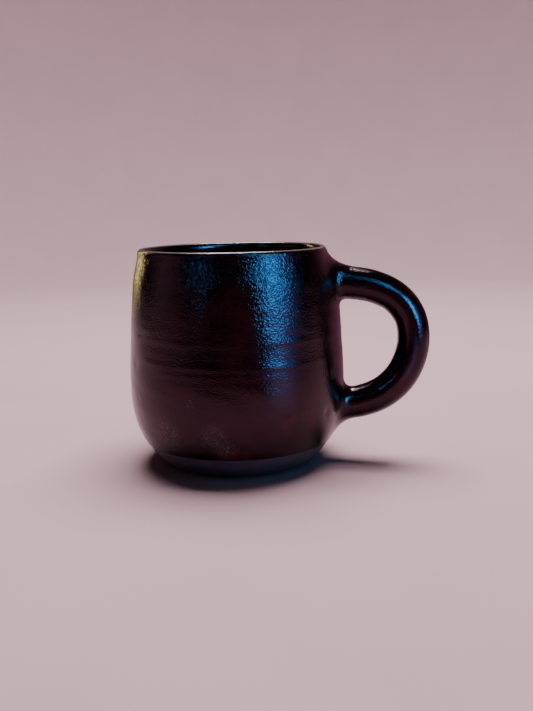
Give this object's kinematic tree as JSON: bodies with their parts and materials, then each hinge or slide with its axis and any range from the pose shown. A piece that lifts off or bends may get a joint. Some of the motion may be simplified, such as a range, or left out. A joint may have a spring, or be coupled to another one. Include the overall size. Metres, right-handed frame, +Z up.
{
  "type": "ceramic mug",
  "caption": "Hand-thrown stoneware mug: rounded barrel body, thin rolled lip, round loop handle, dark satin glaze ending above a bare clay foot.",
  "frame": {"origin": "centre of the flat base the mug stands on, on the axis the body was thrown on", "axes": "+Z up along the body's axis towards the rim, +X from the axis out towards the handle, +Y completes a right-handed frame"},
  "size_m": [0.1224, 0.088, 0.088],
  "materials": {
    "bare_stoneware": "matte",
    "black_glaze": "satin"
  },
  "bodies": {
    "root": {"thrown_body": "bare_stoneware", "handle_coil": "bare_stoneware", "upper_slip_joint": "bare_stoneware", "lower_slip_joint": "bare_stoneware", "outer_glaze": "black_glaze", "liner_glaze": "black_glaze", "handle_glaze": "black_glaze"}
  },
  "joints": []
}
